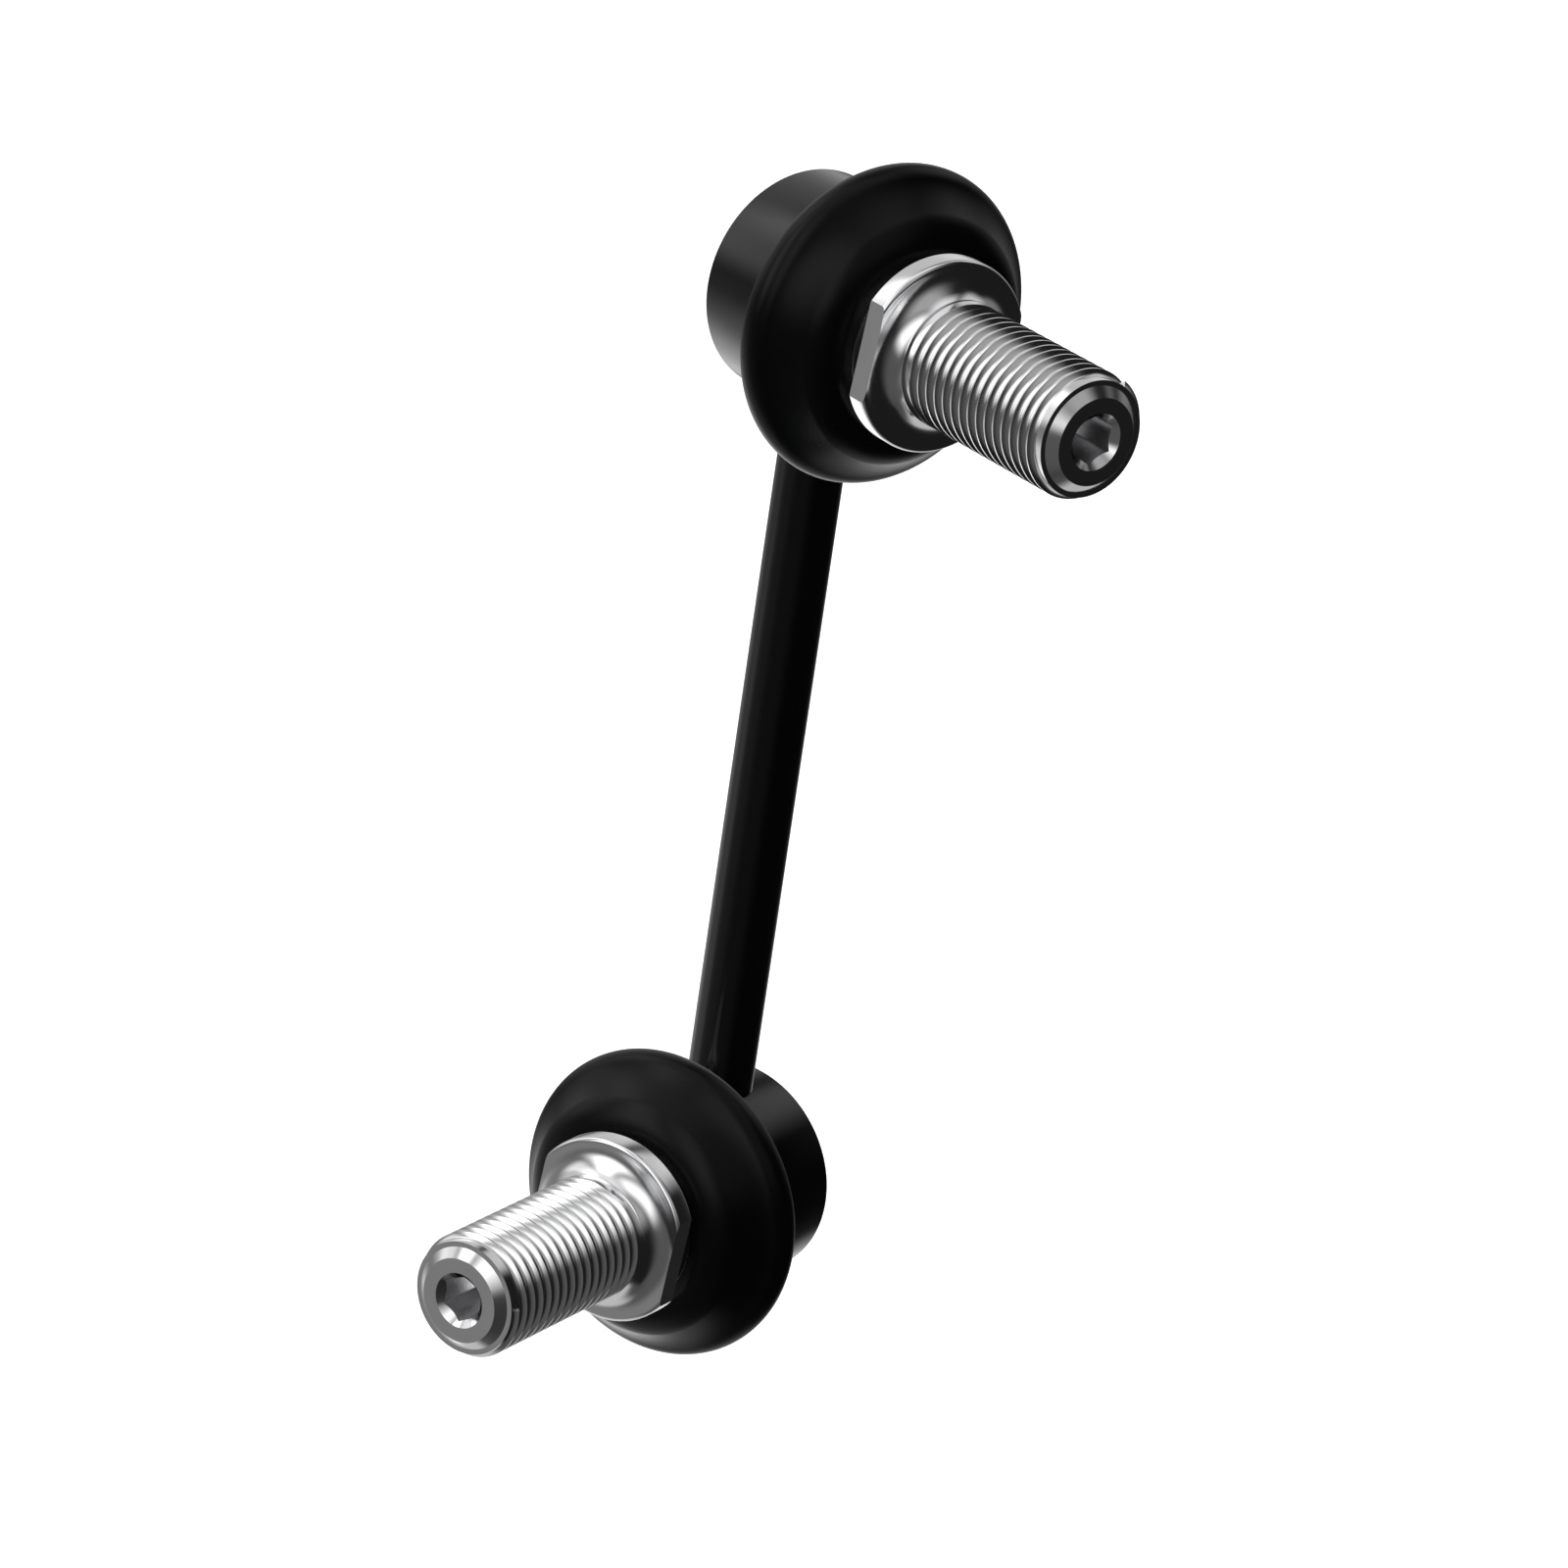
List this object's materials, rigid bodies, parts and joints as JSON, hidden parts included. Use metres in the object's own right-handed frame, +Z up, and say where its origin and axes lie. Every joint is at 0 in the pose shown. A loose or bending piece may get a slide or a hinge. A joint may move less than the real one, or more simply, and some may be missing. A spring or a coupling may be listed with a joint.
{
  "type": "stabilizer link",
  "caption": "Slim black rod with a rubber-booted ball joint across each end, each with a flanged threaded stud, that ties an anti-roll bar to a suspension arm or strut.",
  "frame": {"origin": "centre of the lower stud's seat face, where its flange meets a bracket", "axes": "+X out along the lower stud, +Z up along the rod towards the upper end"},
  "size_m": [0.0517, 0.054, 0.1216],
  "materials": {
    "black_coat": "satin black coated steel",
    "plated_steel": "bright plated turned steel",
    "black_rubber": "smooth moulded black rubber",
    "bearing_plastic": "natural bearing plastic",
    "plain_steel": "plain pressed steel",
    "ring_wire": "dark oiled spring wire"
  },
  "bodies": {
    "lower_stud": {"lower_ball_stud": "plated_steel"},
    "lower_neck": {"lower_boot_neck_ring": "ring_wire"},
    "lower_boot": {"lower_dust_boot": "black_rubber"},
    "link": {"link_rod": "black_coat", "lower_housing": "black_coat", "lower_ball_seat": "bearing_plastic", "lower_closing_ring": "plain_steel", "lower_boot_clamp_ring": "ring_wire", "upper_housing": "black_coat", "upper_ball_seat": "bearing_plastic", "upper_closing_ring": "plain_steel", "upper_boot_clamp_ring": "ring_wire"},
    "upper_boot": {"upper_dust_boot": "black_rubber"},
    "upper_neck": {"upper_boot_neck_ring": "ring_wire"},
    "upper_stud": {"upper_ball_stud": "plated_steel"}
  },
  "joints": [
    {"name": "lower_stud_spin", "type": "hinge", "parent": "lower_stud", "child": "lower_neck", "pos_m": [-0.013, 0, 0], "axis": [1, 0, 0], "continuous": true},
    {"name": "lower_ball_rock", "type": "hinge", "parent": "lower_neck", "child": "lower_boot", "pos_m": [-0.013, 0, 0], "axis": [0, 1, 0], "range_deg": [-18, 18], "deforming": ["lower_dust_boot"]},
    {"name": "lower_ball_yaw", "type": "hinge", "parent": "lower_boot", "child": "link", "pos_m": [-0.013, 0, 0], "axis": [0, 0, 1], "range_deg": [-18, 18], "deforming": ["lower_dust_boot"]},
    {"name": "upper_ball_yaw", "type": "hinge", "parent": "link", "child": "upper_boot", "pos_m": [-0.01563, 0.00376, 0.091], "axis": [0, 0, 1], "range_deg": [-18, 18], "deforming": ["upper_dust_boot"]},
    {"name": "upper_ball_rock", "type": "hinge", "parent": "upper_boot", "child": "upper_neck", "pos_m": [-0.01563, 0.00376, 0.091], "axis": [-0.9397, 0.342, 0], "range_deg": [-18, 18], "deforming": ["upper_dust_boot"]},
    {"name": "upper_stud_spin", "type": "hinge", "parent": "upper_neck", "child": "upper_stud", "pos_m": [-0.01563, 0.00376, 0.091], "axis": [0.342, 0.9397, 0], "continuous": true}
  ]
}
